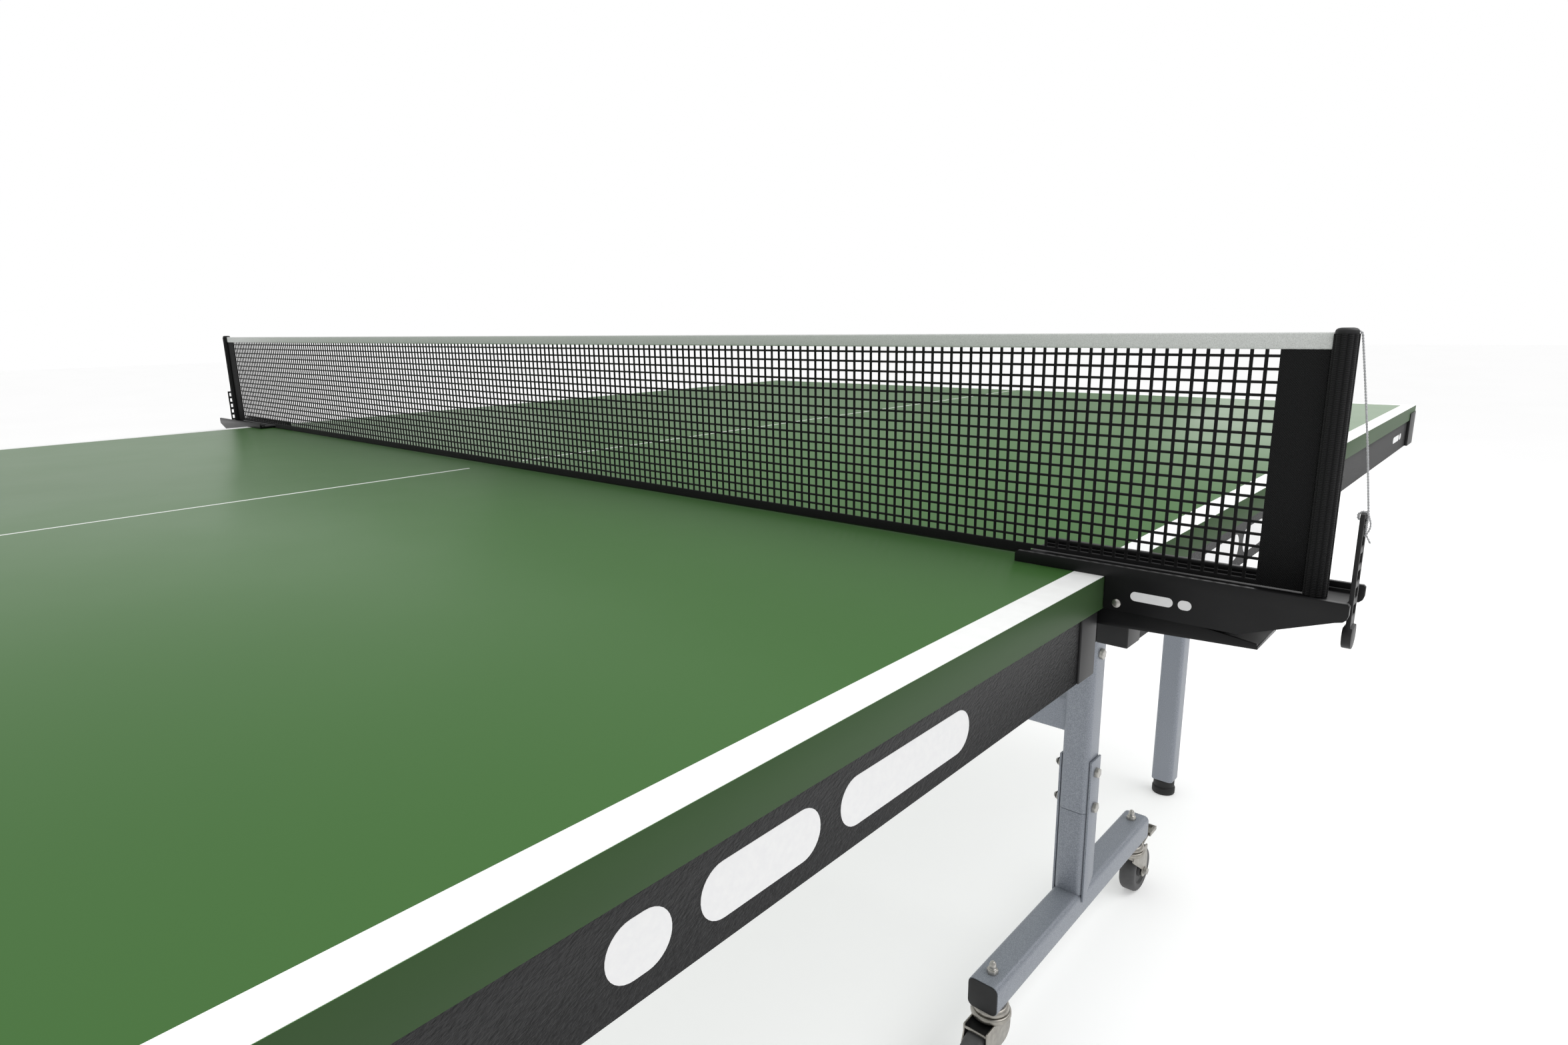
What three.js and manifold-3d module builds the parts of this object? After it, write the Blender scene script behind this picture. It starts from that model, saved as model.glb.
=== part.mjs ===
// A roll-away ping pong table in two folding halves, with its clamp-on net.
// Millimetres. +X is the table's width, +Y its length, +Z up.
// The origin is on the floor under the middle of the net.
// The rear half lies at +Y and the front half, which carries the net set, at -Y.
import * as THREE from "three";
import { mergeVertices } from "three/addons/utils/BufferGeometryUtils.js";
import Module from "manifold-3d";

// ---- driving dimensions ----
const GAP = 0.3; // between pieces that touch
const BOARD = { halfLength: 1370, halfWidth: 762.5, top: 760, thick: 22, netGap: 2 };
const APRON = { face: 760, depth: 25, bottom: 694, netFace: 30, inset: 2.5 };
const BRACKET = { along: 23, across: 21, sheet: 1, proud: 1.5, proudAtNet: 0.8 };
const PROTECTOR = { width: 64, top: 750, proud: 1.5, proudAtEnd: 4, round: 9 };
const TUBE = { size: 40, round: 6 };
const LEG = { x: 535, y: 527, foot: 100, seam: 264, top: 693.5, footFrom: 273.5, footTo: 773.5 };
const SIDE_STRAP = { half: 15, thick: 3, low: 128, lowBack: 157, top: 342 }; // both sides of a T leg's seam
const H_RAIL = { y0: 515, y1: 540, z0: 374, z1: 422 };
const OUTER = { x: 466, y: 1131, bottom: 30, top: 690 };
const OUTER_RAIL = { y0: 1121, y1: 1141, z0: 560, z1: 600 };
const FOLD_PIVOT = { y: 495, z: 700 }; // the top turns on the T legs here
const OUTER_PIVOT = { y: 1102.5, z: 700 }; // the outer legs turn on the top here
const ARM = { z: 493, x0: 490, x1: 510, inner: 523.5, outer: 1131, height: 26, boss: 10, gap: 0.5 };
const EAR = { r: 10, thick: 3, low: 640, fold: 652 }; // the plates that hold the pins
const LUG = { y0: 1092, y1: 1120, overEars: 13, lap: 4 }; // what an outer leg's ears hold
const PIN = { r: 5, clear: 0.6 };
const CASTOR = { inner: 296.5, outer: 750.5, wheel: 37.5, width: 25, trail: 33, wall: 2.5 };
const FORK = { room: 1.5, front: -20, back: 24, end: 39, under: 80, top: 84, arm: 11, hood: 3, lipTop: 82 };
const BEARING = { lower: 25, lowerTop: 91, upper: 22.5 };
const PEDAL = {
  y: 29, z: 86.3, r: 1.9, neckHalf: 13,
  trayHalf: 16, trayFrom: 50, trayTo: 78, floor: 91, rim: 97,
};
const FOOT = { r: 21, height: 14, step: 1.5, stem: 5.5, stemLength: 40 };
const CLAMP = { start: 699.5, tip: 898, floorEnd: 893.9, plate: 3, halfWidth: 25, top: 768, low: 739 };
const FLOOR_LIP = { y: 16, wide: 1.6, high: 1.8 }; // along both sides of the clamp's floor
const LEVER = { start: 763.5, end: 854.5, low: 726.5, rise: 4.2, sheet: 2 };
const RIVET = { x: 771.5, z: 743.8, r: 2.5 };
const POST = { x: 876.5, r: 6.5, cap: 5.8, top: 913 };
const NET = { halfWidth: 869.1, half: 0.8, bottom: 760.5, overClamp: 764, tape: 903.8, top: 913.2 };
const STRAP = {
  x0: 894.5, x1: 896.8, half: 6, bottom: 735.5, top: 815,
  toe: 7.5, swell: 1.3, slot: 6, pitch: 10,
};
const CORD_RADIUS = 0.6;

const BOARD_UNDER = BOARD.top - BOARD.thick;
const FRAME_TOP = BOARD_UNDER - GAP;
const FRAME_END = BOARD.halfLength - APRON.inset;
const TUBE_HALF = TUBE.size / 2;
const LEG_HALF = TUBE_HALF - 0.6; // the legs' tube stands between the side straps

// ---- colours ----
const paint = (color, roughness, metalness = 0) =>
  new THREE.MeshStandardMaterial({ color, roughness, metalness });
const GREEN = paint(0x4e7142, 0.45);
const BLACK_METAL = paint(0x3c3c3c, 0.55, 0.2);
const BLACK_PLASTIC = paint(0x222222, 0.5);
const GREY_PAINT = paint(0x8f969f, 0.5, 0.3);
const NICKEL = paint(0xa9a39a, 0.35, 0.9);
const WHEEL_GREY = paint(0x484848, 0.7);
const NETTING = paint(0x1a1a1a, 0.9);
const CORD_GREY = paint(0xb9bcc0, 0.8);

// ---- solids ----
const wasm = await Module();
wasm.setup();

function solid(geometry) {
  const bare = geometry.clone();
  bare.deleteAttribute("normal");
  bare.deleteAttribute("uv");
  const merged = mergeVertices(bare, 1e-4);
  return new wasm.Manifold(
    new wasm.Mesh({
      numProp: 3,
      vertProperties: new Float32Array(merged.attributes.position.array),
      triVerts: new Uint32Array(merged.index.array),
    }),
  );
}

function geometryOf(manifold) {
  const { vertProperties, triVerts } = manifold.getMesh();
  const geometry = new THREE.BufferGeometry();
  geometry.setAttribute("position", new THREE.BufferAttribute(vertProperties, 3));
  geometry.setIndex(new THREE.BufferAttribute(triVerts, 1));
  geometry.computeVertexNormals();
  return geometry;
}

const join = (...pieces) => geometryOf(pieces.map(solid).reduce((a, b) => a.add(b)));
const cut = (piece, ...tools) =>
  geometryOf(tools.map(solid).reduce((a, b) => a.subtract(b), solid(piece)));

function box(x0, x1, y0, y1, z0, z1) {
  const geometry = new THREE.BoxGeometry(x1 - x0, y1 - y0, z1 - z0);
  return geometry.translate((x0 + x1) / 2, (y0 + y1) / 2, (z0 + z1) / 2);
}

// A rectangle with round corners, for sections of tube and rail.
function roundedRectangle(x0, x1, y0, y1, r) {
  const shape = new THREE.Shape();
  shape.absarc(x1 - r, y1 - r, r, 0, Math.PI / 2);
  shape.absarc(x0 + r, y1 - r, r, Math.PI / 2, Math.PI);
  shape.absarc(x0 + r, y0 + r, r, Math.PI, 1.5 * Math.PI);
  shape.absarc(x1 - r, y0 + r, r, 1.5 * Math.PI, 2 * Math.PI);
  return shape;
}

function outline(points) {
  return new THREE.Shape(points.map(([a, b]) => new THREE.Vector2(a, b)));
}

// Each extrudes a shape from low to high.
// A (y, z) shape goes along X, an (x, z) one along Y and an (x, y) one along Z.
const FRAMES = {
  x: new THREE.Matrix4().set(0, 0, 1, 0, 1, 0, 0, 0, 0, 1, 0, 0, 0, 0, 0, 1),
  y: new THREE.Matrix4().set(1, 0, 0, 0, 0, 0, -1, 0, 0, 1, 0, 0, 0, 0, 0, 1),
  z: new THREE.Matrix4(),
};
function extrude(axis, shape, low, high, curveSegments = 2) {
  const options = { depth: high - low, bevelEnabled: false, curveSegments };
  const geometry = new THREE.ExtrudeGeometry(shape, options).applyMatrix4(FRAMES[axis]);
  if (axis === "x") return geometry.translate(low, 0, 0);
  if (axis === "y") return geometry.translate(0, high, 0);
  return geometry.translate(0, 0, low);
}

function rod(axis, r, low, high, at, sides = 10) {
  const geometry = new THREE.CylinderGeometry(r, r, high - low, sides);
  const middle = (low + high) / 2;
  if (axis === "x") return geometry.rotateZ(Math.PI / 2).translate(middle, at[0], at[1]);
  if (axis === "y") return geometry.translate(at[0], middle, at[1]);
  return geometry.rotateX(Math.PI / 2).translate(at[0], at[1], middle);
}

// A turned piece about Z, or about X where that is asked for.
function turned(profile, sides, aboutX = false) {
  const points = profile.map(([r, h]) => new THREE.Vector2(r, h));
  const geometry = new THREE.LatheGeometry(points, sides);
  return aboutX ? geometry.rotateZ(-Math.PI / 2) : geometry.rotateX(Math.PI / 2);
}

// ---- the tree ----
const table = new THREE.Group();

function add(parent, name, geometry, material) {
  const mesh = new THREE.Mesh(geometry, material);
  mesh.name = name;
  parent.add(mesh);
}

// ---- table tops ----
function board() {
  const { halfWidth, halfLength, netGap, top } = BOARD;
  return box(-halfWidth, halfWidth, netGap, halfLength, BOARD_UNDER, top);
}

// The L-shaped cover of an apron corner beside the net, on the +X side.
function cornerBracket() {
  const { face, bottom, netFace } = APRON;
  const { along, across, sheet, proud, proudAtNet } = BRACKET;
  const shape = outline([
    [face - across, netFace - proudAtNet],
    [face + proud, netFace - proudAtNet],
    [face + proud, netFace + along],
    [face - sheet, netFace + along],
    [face - sheet, netFace + sheet],
    [face - across, netFace + sheet],
  ]);
  return extrude("z", shape, bottom, FRAME_TOP);
}

// The moulded guard round a board corner at the far end of a half, on the +X side.
function endProtector() {
  const { width, top, proud, proudAtEnd, round } = PROTECTOR;
  const [face, end] = [BOARD.halfWidth + proud, BOARD.halfLength + proudAtEnd];
  const shape = new THREE.Shape();
  shape.moveTo(face - width, end);
  shape.lineTo(face - width, end - width);
  shape.lineTo(face, end - width);
  shape.absarc(face - round, end - round, round, 0, Math.PI / 2);
  const block = extrude("z", shape, APRON.bottom, top, 5);
  const boardRoom = box(0, BOARD.halfWidth + GAP, 0, BOARD.halfLength + GAP, BOARD_UNDER - GAP, BOARD.top);
  const frameRoom = box(0, APRON.face + GAP, 0, FRAME_END + GAP, 0, BOARD_UNDER);
  return cut(block, boardRoom, frameRoom);
}

// The lug that the outer leg's two ears hold, on the side's inner rail. It is cut away over the outer ear.
function hingeLug(side) {
  const { y0, y1, overEars, lap } = LUG;
  const low = OUTER_PIVOT.z + overEars;
  const half = TUBE_HALF - 1;
  const across = (a, b) => [side * a, side * b].sort((p, q) => p - q);
  return join(
    box(...across(OUTER.x - half, LEG.x), y0, y1, low, FRAME_TOP - 6),
    box(...across(OUTER.x - half, OUTER.x + half), y0 + 1, y1 - 7, APRON.bottom + GAP, low + lap),
  );
}

// The black apron: four rails, two inner rails on the legs, and a recess for each corner bracket.
function frame() {
  const { face, depth, bottom, netFace } = APRON;
  const recess = BRACKET.sheet + GAP;
  const [recessFrom, recessTo] = [face - BRACKET.across - GAP, netFace + BRACKET.along + GAP];
  const corner = [
    [recessFrom, netFace],
    [recessFrom, netFace + recess],
    [face - recess, netFace + recess],
    [face - recess, recessTo],
    [face, recessTo],
    [face, FRAME_END],
  ];
  const shape = outline([...corner, ...corner.map(([x, y]) => [-x, y]).reverse()]);
  const [inner, outer] = [LEG.x - LEG_HALF + 0.6, LEG.x + LEG_HALF - 0.6];
  const bays = [
    [-face + depth, -outer],
    [-inner, inner],
    [outer, face - depth],
  ];
  const [y0, y1] = [netFace + 20, FRAME_END - depth];
  const rooms = bays.map(([x0, x1]) => box(x0, x1, y0, y1, bottom - 1, BOARD_UNDER));
  const rails = cut(extrude("z", shape, bottom, FRAME_TOP), ...rooms);
  const pinHole = (x, pivot) => rod("x", PIN.r + PIN.clear, x - 30, x + 30, [pivot.y, pivot.z]);
  const holes = [-1, 1].flatMap((side) => [
    pinHole(side * LEG.x, FOLD_PIVOT),
    pinHole(side * OUTER.x, OUTER_PIVOT),
  ]);
  return cut(join(rails, hingeLug(1), hingeLug(-1)), ...holes);
}

// The same piece on the -X side.
function mirrored(geometry) {
  const other = geometry.clone().scale(-1, 1, 1);
  const index = other.index.array;
  for (let i = 0; i < index.length; i += 3) [index[i + 1], index[i + 2]] = [index[i + 2], index[i + 1]];
  return other;
}

// ---- T legs ----
// The castored foot with its stub and the two side straps that hold the leg, on the +X side.
function legBase() {
  const foot = extrude(
    "y",
    roundedRectangle(LEG.x - TUBE_HALF, LEG.x + TUBE_HALF, LEG.foot, LEG.foot + TUBE.size, TUBE.round),
    LEG.footFrom,
    LEG.footTo,
  );
  const stub = legTube(LEG.foot + TUBE.size - 2, LEG.seam);
  const { half, thick, low, lowBack, top } = SIDE_STRAP;
  const [y0, y1] = [LEG.y - half, LEG.y + half];
  const strapShape = outline([
    [y0 + 1.5, low],
    [y1, lowBack],
    [y1, top],
    [y0, top],
    [y0, low + 1.5],
  ]);
  const straps = [1, -1].flatMap((side) => {
    const at = (a, b) => [LEG.x + side * a, LEG.x + side * b].sort((p, q) => p - q);
    const inner = LEG_HALF + GAP;
    const [w0, w1] = at(LEG_HALF - 0.5, inner + 0.5);
    const weld = box(w0, w1, y0 + 2, y1 - 2, LEG.foot + 60, LEG.seam - 6);
    return [extrude("x", strapShape, ...at(inner, inner + thick)), weld];
  });
  return join(foot, stub, ...straps);
}

function legTube(z0, z1) {
  const [x0, x1] = [LEG.x - LEG_HALF, LEG.x + LEG_HALF];
  const shape = roundedRectangle(x0, x1, LEG.y - TUBE_HALF, LEG.y + TUBE_HALF, TUBE.round);
  return extrude("z", shape, z0, z1);
}

// The plate that carries a hinge pin: from the leg's tube up to a round end at the pivot.
function ear(pivot, legFrom, legTo, top) {
  const shape = new THREE.Shape();
  shape.moveTo(legTo, EAR.low + 8);
  shape.lineTo(legTo, top);
  shape.absarc(pivot.y, pivot.z, EAR.r, Math.PI / 3, 1.2 * Math.PI);
  shape.lineTo(legFrom, EAR.low);
  return shape;
}

// Two ears on the sides of a leg's tube, the pin between them and the block that ties them to the tube.
function earsAndPin(shape, x, half, pivot, y0, y1, top) {
  return [
    extrude("x", shape, x - half - EAR.thick, x - half),
    extrude("x", shape, x + half, x + half + EAR.thick),
    box(x - half - 1, x + half + 1, y0, y1, EAR.fold, top),
    rod("x", PIN.r, x - half - 2, x + half + 2, [pivot.y, pivot.z]),
  ];
}

function legFrame() {
  const shape = ear(FOLD_PIVOT, LEG.y - 14, LEG.y + 14, LEG.top - 4);
  const one = join(
    legTube(LEG.seam + GAP, LEG.top),
    ...earsAndPin(shape, LEG.x, LEG_HALF, FOLD_PIVOT, LEG.y - 12, LEG.y + 12, LEG.top - 8),
  );
  const { y0, y1, z0, z1 } = H_RAIL;
  const rail = extrude("x", roundedRectangle(y0, y1, z0, z1, 3), -LEG.x, LEG.x, 2);
  return join(one, mirrored(one), rail);
}

// ---- outer legs ----
function outerLegFrame() {
  const [x0, x1] = [OUTER.x - TUBE_HALF, OUTER.x + TUBE_HALF];
  const tube = extrude(
    "z",
    roundedRectangle(x0, x1, OUTER.y - TUBE_HALF, OUTER.y + TUBE_HALF, TUBE.round),
    OUTER.bottom,
    OUTER.top,
  );
  const shape = ear(OUTER_PIVOT, OUTER.y - 14, OUTER.y + 4, OUTER.top - 2);
  const boreTop = OUTER.bottom + FOOT.stemLength + 2;
  const bore = rod("z", FOOT.stem + PIN.clear, OUTER.bottom - 1, boreTop, [OUTER.x, OUTER.y], 12);
  const one = join(
    cut(tube, bore),
    ...earsAndPin(shape, OUTER.x, TUBE_HALF, OUTER_PIVOT, OUTER.y - 12, OUTER.y + 2, OUTER.top - 8),
  );
  const { y0, y1, z0, z1 } = OUTER_RAIL;
  const rail = extrude("x", roundedRectangle(y0, y1, z0, z1, 3), -x0 - 2, x0 + 2, 2);
  return join(one, mirrored(one), rail);
}

function levellingFoot() {
  const { r, height, step, stem, stemLength } = FOOT;
  const top = OUTER.bottom - GAP;
  const profile = [
    [0, 0],
    [r, 0],
    [r, height],
    [r - step, height],
    [r - step, top],
    [stem, top],
    [stem, top + stemLength],
    [0, top + stemLength],
  ];
  return turned(profile, 14).translate(OUTER.x, OUTER.y, 0);
}

// A flat link from the T leg to the outer leg, with a boss at each end.
// The outer boss stops short of the leg.
function arm() {
  const { z, x0, x1, inner, outer, height, boss, gap } = ARM;
  const r = height / 2;
  const shape = new THREE.Shape();
  shape.absarc(inner, z, r, Math.PI / 2, 1.5 * Math.PI);
  shape.absarc(outer, z, r, -Math.PI / 2, Math.PI / 2);
  return join(
    extrude("x", shape, x0, x1, 5),
    rod("x", boss, x1 - 1, LEG.x - LEG_HALF - gap, [inner, z]),
    rod("x", boss, OUTER.x + TUBE_HALF + gap, x0 + 1, [outer, z]),
  );
}

// ---- castors, about their own swivel axis and trailing towards +Y ----
function castorFork(braked) {
  const { wheel, width, trail, wall } = CASTOR;
  const { room, front, back, end, under, top, arm, hood, lipTop } = FORK;
  const inside = width / 2 + room;
  const outside = inside + wall;
  const [hoodFrom, hoodTo, hoodLow] = [back - 2, end - 2, under - 3];
  const hoodPlate = outline([
    [hoodFrom, top],
    [hoodFrom, top - hood - 0.5],
    [hoodTo, hoodLow],
    [hoodTo, hoodLow + hood],
  ]);
  // A braked fork's cheeks slope straight to the axle; the other forks' are deep and round at the front.
  const slope = [[front + 3, under - 6]];
  const deep = [
    [front - 2, 64],
    [front, 54],
    [front + 6, 47.5],
    [front + 15, 44],
  ];
  const cheek = new THREE.Shape();
  cheek.moveTo(end, top);
  cheek.lineTo(front + 4, top);
  cheek.lineTo(front - 2, under);
  for (const [y, z] of braked ? slope : deep) cheek.lineTo(y, z);
  cheek.absarc(trail, wheel, arm, 0.8 * Math.PI, 1.95 * Math.PI);
  cheek.lineTo(end + 5, wheel + 18);
  cheek.lineTo(end, hoodLow - 6);
  return join(
    box(0.5 - outside, outside - 0.5, front, back, under, top),
    box(0.5 - outside, outside - 0.5, end - 3, end - 0.5, hoodLow - 1, lipTop),
    extrude("x", hoodPlate, -inside - 1, inside + 1),
    extrude("x", cheek, inside, outside, 4),
    extrude("x", cheek, -outside, -inside, 4),
    rod("z", BEARING.lower, top - 1, BEARING.lowerTop, [0, 0], 14),
    rod("z", BEARING.upper, BEARING.lowerTop - 1, LEG.foot - GAP, [0, 0], 14),
    rod("x", 4, -inside - 1, inside + 1, [trail, wheel], 8),
  );
}

function castorWheel() {
  const { wheel, width, trail } = CASTOR;
  const half = width / 2;
  const profile = [
    [4.8, -half],
    [wheel - 5, -half],
    [wheel, 5 - half],
    [wheel, half - 5],
    [wheel - 5, half],
    [4.8, half],
    [4.8, -half],
  ];
  return turned(profile, 20, true).translate(0, trail, wheel);
}

// The stamped foot pedal of a braked castor: a round pivot, a sloping neck and a tray.
function brakePedal() {
  const { y, z, r, neckHalf, trayHalf, trayFrom, trayTo, floor, rim } = PEDAL;
  const neck = outline([
    [y - 0.5, 88],
    [y - 0.5, 85.2],
    [trayFrom, floor],
    [trayTo, floor],
    [trayTo, rim],
    [trayTo - 2, rim],
    [trayTo - 2, floor + 2],
    [trayFrom - 1, floor + 2],
  ]);
  const rimInside = neckHalf - 1.5;
  return join(
    extrude("x", neck, -neckHalf, neckHalf),
    rod("x", r, -neckHalf, neckHalf, [y, z], 10),
    box(-trayHalf, -rimInside, trayFrom, trayTo, floor, rim),
    box(rimInside, trayHalf, trayFrom, trayTo, floor, rim),
  );
}

// ---- net set, on the +X side ----
function clampBody() {
  const { start, tip, floorEnd, plate, halfWidth, top, low } = CLAMP;
  const onBoard = BOARD.top + GAP;
  const outboard = BOARD.halfWidth + 0.6;
  const side = outline([
    [start, onBoard],
    [outboard, onBoard],
    [outboard, low],
    [844, low],
    [tip - 6, 756.5],
    [tip - 2.4, 757.4],
    [tip - 0.7, 759],
    [tip, 761.5],
    [tip, top - 1.2],
    [tip - 1.2, top],
    [start + 2, top],
    [start, top - 2],
  ]);
  const floorTop = NET.overClamp - GAP;
  const floorHalf = halfWidth - plate + 0.5;
  const { y: lipAt, wide, high } = FLOOR_LIP;
  const lip = (y0, y1) => box(start + 3, floorEnd - 1, y0, y1, floorTop - 1, floorTop + high);
  return join(
    extrude("y", side, halfWidth - plate, halfWidth),
    extrude("y", side, -halfWidth, plate - halfWidth),
    box(start + 1, floorEnd, -floorHalf, floorHalf, onBoard + 0.6, floorTop),
    box(POST.x - POST.r, floorEnd, -floorHalf, floorHalf, floorTop - 5.7, floorTop),
    lip(lipAt, lipAt + wide),
    lip(-lipAt - wide, -lipAt),
    rod("y", RIVET.r, -halfWidth, halfWidth, [RIVET.x, RIVET.z], 12),
  );
}

// The sprung lower jaw: a channel outside the table, and a tongue that presses under the front board.
function clampLever() {
  const { start, end, low, rise, sheet } = LEVER;
  const half = CLAMP.halfWidth - CLAMP.plate - 0.6;
  const floorShape = outline([
    [start, low],
    [end, low + rise],
    [end, low + rise + sheet],
    [start, low + sheet],
  ]);
  const wall = outline([
    [start + 0.5, low + 1],
    [end - 0.5, low + rise + 0.8],
    [end - 0.5, 734],
    [817, 738.7],
    [786, 740],
    [778, 749],
    [start + 0.5, 749],
  ]);
  const lever = join(
    extrude("y", floorShape, -half, half),
    extrude("y", wall, half - sheet, half),
    extrude("y", wall, -half, sheet - half),
    box(CLAMP.start + 1, start + 1, -half, -4, low, BOARD_UNDER - 0.4),
  );
  return cut(lever, rod("y", RIVET.r + PIN.clear, -half - 1, half + 1, [RIVET.x, RIVET.z], 12));
}

// A sleeved tube, and a domed cap that fits inside the sleeve.
function post() {
  const foot = NET.overClamp;
  const { r, top, cap } = POST;
  const profile = [
    [0, foot],
    [r, foot],
    [r, top - 0.6],
    [cap, top - 0.6],
    [cap, top + 1],
    [cap - 1.4, top + 2.4],
    [0, top + 2.6],
  ];
  return turned(profile, 16).translate(POST.x, 0, 0);
}

// A ladder of slots, with a thicker round toe that stops it under the clamp.
function tensionStrap() {
  const { x0, x1, half, toe, swell, bottom, top, slot, pitch } = STRAP;
  const [toeTop, neck, slotHalf] = [bottom + toe + 3, bottom + toe + 6, half - 2];
  const ladder = box(x0, x1, -half, half, bottom + toe, top);
  const lug = new THREE.Shape();
  lug.absarc(0, bottom + toe, toe, Math.PI, 2 * Math.PI);
  lug.lineTo(toe, toeTop);
  lug.lineTo(half, neck);
  lug.lineTo(-half, neck);
  lug.lineTo(-toe, toeTop);
  const holes = [];
  for (let z = top - 3 - slot; z > neck; z -= pitch) {
    holes.push(box(x0 - 1, x1 + 1, -slotHalf, slotHalf, z, z + slot));
  }
  return cut(join(ladder, extrude("x", lug, x0 - swell, x1 + swell, 5)), ...holes);
}

// The cord from the rim of the post down to the head of the strap.
function tensionCord() {
  const from = new THREE.Vector3(POST.x + POST.r + CORD_RADIUS + GAP, 0, POST.top - 1);
  const to = new THREE.Vector3(STRAP.x1 - CORD_RADIUS, 0, STRAP.top + GAP + 0.2);
  const section = new THREE.Shape().absarc(0, 0, CORD_RADIUS, 0, 2 * Math.PI);
  const path = new THREE.LineCurve3(from, to);
  const swept = { steps: 3, curveSegments: 8, bevelEnabled: false, extrudePath: path };
  return new THREE.ExtrudeGeometry(section, swept);
}

function net() {
  const { halfWidth, half, bottom, overClamp, tape, top } = NET;
  const betweenClamps = CLAMP.start - 0.5;
  return join(
    box(-betweenClamps, betweenClamps, -half, half, bottom, top - 1),
    box(-halfWidth, halfWidth, -half, half, overClamp, top - 1),
    box(-halfWidth, halfWidth, -2 * half, 2 * half, tape, top),
  );
}

// ---- assembly ----
const HALVES = { rear: 1, front: -1 };
const SIDES = { right: 1, left: -1 };

function addCastor(quarter, name, y, trails, braked) {
  const castor = new THREE.Group();
  castor.position.set(LEG.x, y, 0);
  castor.scale.y = trails;
  quarter.add(castor);
  add(castor, `${name}_castor_fork`, castorFork(braked), NICKEL);
  add(castor, `${name}_castor_wheel`, castorWheel(), WHEEL_GREY);
  if (braked) add(castor, `${name}_brake_pedal`, brakePedal(), NICKEL);
}

for (const [halfName, y] of Object.entries(HALVES)) {
  const half = new THREE.Group();
  half.scale.y = y;
  table.add(half);
  add(half, `${halfName}_board`, board(), GREEN);
  add(half, `${halfName}_apron_frame`, frame(), BLACK_METAL);
  add(half, `${halfName}_leg_frame`, legFrame(), GREY_PAINT);
  add(half, `${halfName}_outer_leg_frame`, outerLegFrame(), GREY_PAINT);
  for (const [sideName, x] of Object.entries(SIDES)) {
    const quarter = new THREE.Group();
    quarter.scale.x = x;
    half.add(quarter);
    const name = `${halfName}_${sideName}`;
    add(quarter, `${name}_corner_bracket`, cornerBracket(), BLACK_PLASTIC);
    add(quarter, `${name}_end_protector`, endProtector(), BLACK_PLASTIC);
    add(quarter, `${name}_leg_base`, legBase(), GREY_PAINT);
    add(quarter, `${name}_link_arm`, arm(), GREY_PAINT);
    add(quarter, `${name}_levelling_foot`, levellingFoot(), BLACK_PLASTIC);
    addCastor(quarter, `${name}_inner`, CASTOR.inner, -1, false);
    addCastor(quarter, `${name}_outer`, CASTOR.outer, 1, true);
  }
}

for (const [sideName, x] of Object.entries(SIDES)) {
  const end = new THREE.Group();
  end.scale.x = x;
  table.add(end);
  add(end, `${sideName}_net_clamp`, clampBody(), BLACK_METAL);
  add(end, `${sideName}_clamp_lever`, clampLever(), BLACK_METAL);
  add(end, `${sideName}_net_post`, post(), BLACK_PLASTIC);
  add(end, `${sideName}_tension_strap`, tensionStrap(), BLACK_PLASTIC);
  add(end, `${sideName}_tension_cord`, tensionCord(), CORD_GREY);
}
add(table, "net", net(), NETTING);

export default table;
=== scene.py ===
"""The look of a roll-away ping pong table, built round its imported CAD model."""
import math

import bmesh
import bpy
from mathutils import Matrix, Vector


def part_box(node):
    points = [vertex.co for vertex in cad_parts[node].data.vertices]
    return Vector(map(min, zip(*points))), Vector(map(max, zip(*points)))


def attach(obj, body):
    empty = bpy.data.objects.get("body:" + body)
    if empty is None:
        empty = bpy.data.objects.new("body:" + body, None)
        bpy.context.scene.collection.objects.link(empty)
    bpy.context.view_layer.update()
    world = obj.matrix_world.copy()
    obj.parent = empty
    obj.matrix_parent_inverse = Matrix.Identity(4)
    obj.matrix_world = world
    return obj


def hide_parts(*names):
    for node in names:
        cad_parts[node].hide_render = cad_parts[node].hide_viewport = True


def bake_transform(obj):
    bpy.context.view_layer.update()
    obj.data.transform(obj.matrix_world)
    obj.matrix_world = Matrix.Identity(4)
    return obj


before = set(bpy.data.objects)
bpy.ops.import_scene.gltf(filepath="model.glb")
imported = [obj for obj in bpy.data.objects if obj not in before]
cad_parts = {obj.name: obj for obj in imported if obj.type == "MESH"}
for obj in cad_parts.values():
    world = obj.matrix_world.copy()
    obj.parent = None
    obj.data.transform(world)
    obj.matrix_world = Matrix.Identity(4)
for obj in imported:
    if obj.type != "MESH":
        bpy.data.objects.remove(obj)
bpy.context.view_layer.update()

# Shapes are drawn in millimetres, in the CAD's frame, and made into metres as they become objects.
MM = 0.001
# The sign of Y in each half of the table, and of X on each side.
HALVES = {"rear": 1, "front": -1}
SIDES = {"right": 1, "left": -1}
TURN = 2 * math.pi


def box(node):
    low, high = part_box(node)
    return low / MM, high / MM


BOARD_LOW, BOARD_HIGH = box("rear_board")
APRON_HIGH = box("rear_apron_frame")[1]
FOOT_LOW, FOOT_HIGH = box("rear_right_leg_base")
OUTER_LOW, OUTER_HIGH = box("rear_right_levelling_foot")
STRAP_HIGH = box("right_tension_strap")[1]
POST_LOW, POST_HIGH = box("right_net_post")
NET_LOW, NET_HIGH = box("net")

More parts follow.
